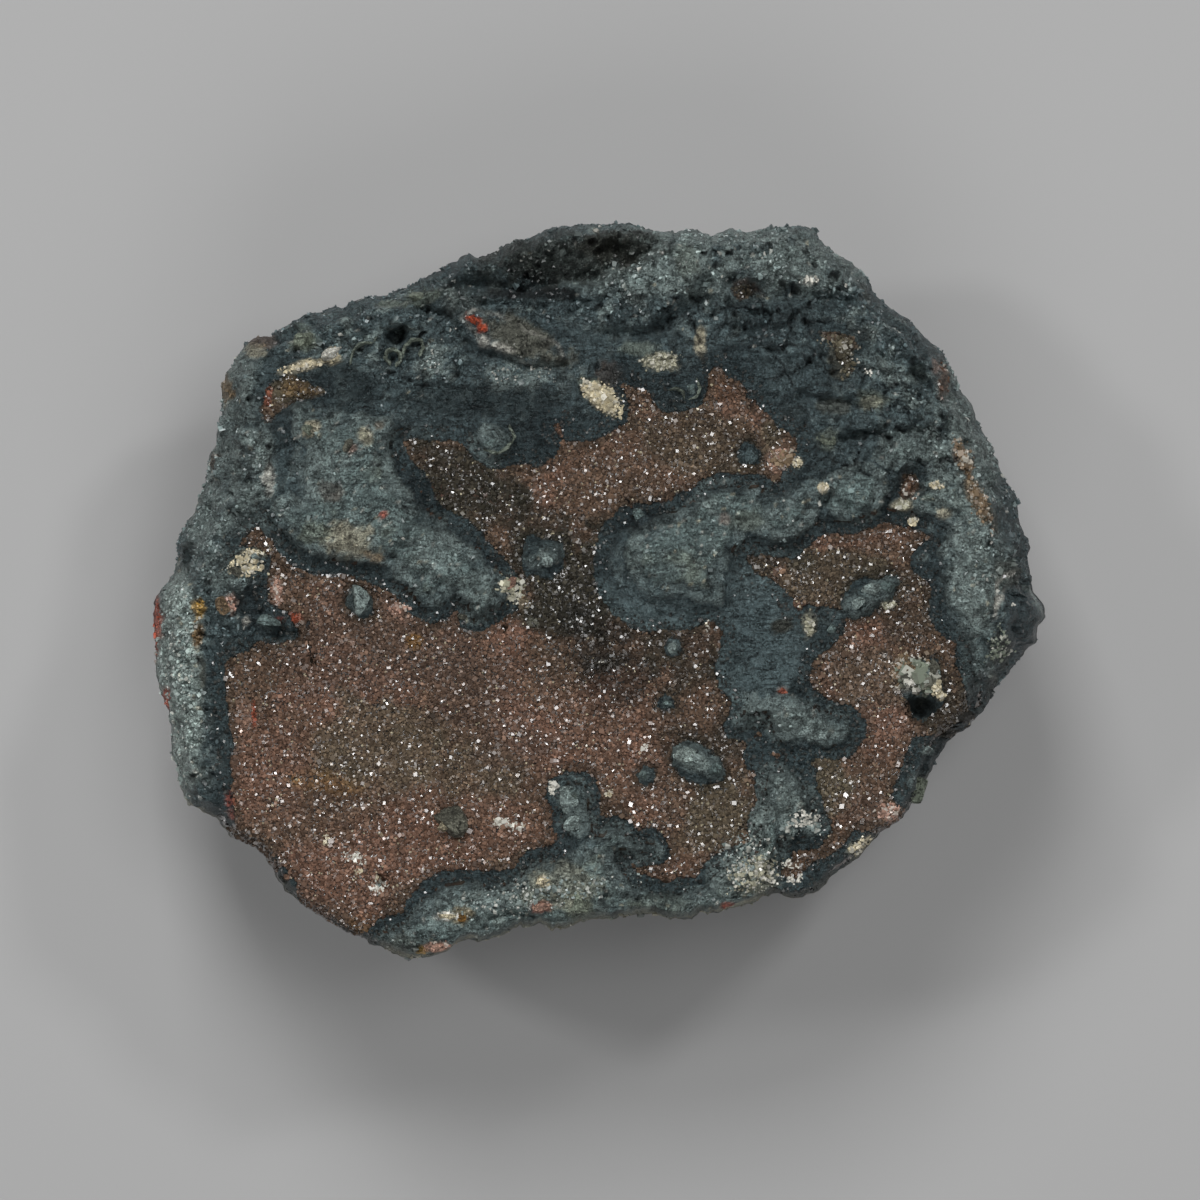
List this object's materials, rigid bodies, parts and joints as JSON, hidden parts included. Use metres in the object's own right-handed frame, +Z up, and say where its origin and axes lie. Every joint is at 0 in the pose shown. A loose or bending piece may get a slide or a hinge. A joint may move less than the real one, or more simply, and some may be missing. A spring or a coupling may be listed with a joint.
{
  "type": "rhodochrosite specimen on manganese ore",
  "caption": "Hand-sized lump of dark manganese ore with a broad red-brown rhodochrosite druse and small cream calcite groups on its upper face, broken sides and a flat base.",
  "frame": {"origin": "middle of the underside of the bounding box, on the surface the specimen lies on", "axes": "+Z up, towards the viewer of the crystal face; +X to the right of the face as in the picture; +Y to its top"},
  "size_m": [0.1201, 0.0987, 0.0436],
  "materials": {
    "manganese_ore": "satin",
    "rhodochrosite": "gloss",
    "calcite": "satin"
  },
  "bodies": {
    "root": {"matrix": "manganese_ore", "rhodochrosite_druse": "rhodochrosite", "rhodochrosite_druse_right": "rhodochrosite", "rhodochrosite_pocket_left": "rhodochrosite", "rhodochrosite_pocket_upper": "rhodochrosite", "rhodochrosite_pocket_right": "rhodochrosite", "calcite_upper": "calcite", "calcite_ledge": "calcite", "calcite_druse_edge": "calcite", "calcite_middle": "calcite", "calcite_vug": "calcite", "calcite_lower_right": "calcite", "calcite_corner": "calcite", "calcite_left_shelf": "calcite"}
  },
  "joints": []
}
